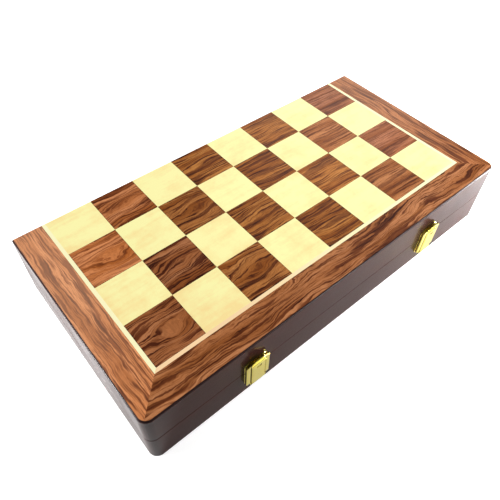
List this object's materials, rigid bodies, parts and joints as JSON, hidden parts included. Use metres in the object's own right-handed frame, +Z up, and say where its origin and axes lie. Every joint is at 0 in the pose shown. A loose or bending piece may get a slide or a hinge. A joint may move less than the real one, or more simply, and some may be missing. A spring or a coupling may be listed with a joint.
{
  "type": "folding chess box",
  "caption": "Folding wooden chess box: a board in two hinged halves, front snap latches, and lined trays that hold the men.",
  "frame": {"origin": "middle of the underside of the shut box, where it lies on the table", "axes": "+X along the long side to the right, -Y towards the latches, +Z up"},
  "size_m": [0.3, 0.1558, 0.05],
  "materials": {
    "dark_lacquer": "gloss",
    "rosewood_border": "satin",
    "rosewood_square": "satin",
    "maple": "satin",
    "flocked_foam": "matte",
    "boxwood_men": "satin",
    "rosewood_men": "satin",
    "bright_brass": "gloss",
    "brass_fixings": "satin"
  },
  "bodies": {
    "base": {"lower_panel": "dark_lacquer", "lower_front_wall": "dark_lacquer", "lower_rear_wall": "dark_lacquer", "lower_left_wall": "dark_lacquer", "lower_right_wall": "dark_lacquer", "lower_front_border": "rosewood_border", "lower_left_border": "rosewood_border", "lower_right_border": "rosewood_border", "lower_inlay_line": "maple", "lower_dark_squares": "rosewood_square", "lower_light_squares": "maple", "lower_liner": "flocked_foam", "light_king": "boxwood_men", "light_queen": "boxwood_men", "light_bishops": "boxwood_men", "light_knights": "boxwood_men", "light_rooks": "boxwood_men", "light_pawns": "boxwood_men", "left_hinge_lower_leaf": "bright_brass", "left_hinge_pin": "brass_fixings", "right_hinge_lower_leaf": "bright_brass", "right_hinge_pin": "brass_fixings", "hinge_screws_lower": "brass_fixings", "latch_screws_lower": "brass_fixings", "left_latch_base": "bright_brass", "left_latch_pin": "brass_fixings", "right_latch_base": "bright_brass", "right_latch_pin": "brass_fixings"},
    "lid": {"upper_panel": "dark_lacquer", "upper_front_wall": "dark_lacquer", "upper_rear_wall": "dark_lacquer", "upper_left_wall": "dark_lacquer", "upper_right_wall": "dark_lacquer", "upper_front_border": "rosewood_border", "upper_left_border": "rosewood_border", "upper_right_border": "rosewood_border", "upper_inlay_line": "maple", "upper_dark_squares": "rosewood_square", "upper_light_squares": "maple", "upper_liner": "flocked_foam", "dark_king": "rosewood_men", "dark_queen": "rosewood_men", "dark_bishops": "rosewood_men", "dark_knights": "rosewood_men", "dark_rooks": "rosewood_men", "dark_pawns": "rosewood_men", "left_hinge_upper_leaf": "bright_brass", "right_hinge_upper_leaf": "bright_brass", "hinge_screws_upper": "brass_fixings", "latch_screws_upper": "brass_fixings", "left_latch_catch": "bright_brass", "right_latch_catch": "bright_brass"},
    "left_latch": {"left_latch_lever": "bright_brass"},
    "right_latch": {"right_latch_lever": "bright_brass"}
  },
  "joints": [
    {"name": "lid_hinge", "type": "hinge", "parent": "base", "child": "lid", "pos_m": [0, 0.0751, 0.025], "axis": [-1, 0, 0], "range_deg": [0, 180]},
    {"name": "left_latch_pivot", "type": "hinge", "parent": "base", "child": "left_latch", "pos_m": [-0.07875, -0.077, 0.012], "axis": [1, 0, 0], "range_deg": [0, 105]},
    {"name": "right_latch_pivot", "type": "hinge", "parent": "base", "child": "right_latch", "pos_m": [0.07875, -0.077, 0.012], "axis": [1, 0, 0], "range_deg": [0, 105]}
  ]
}
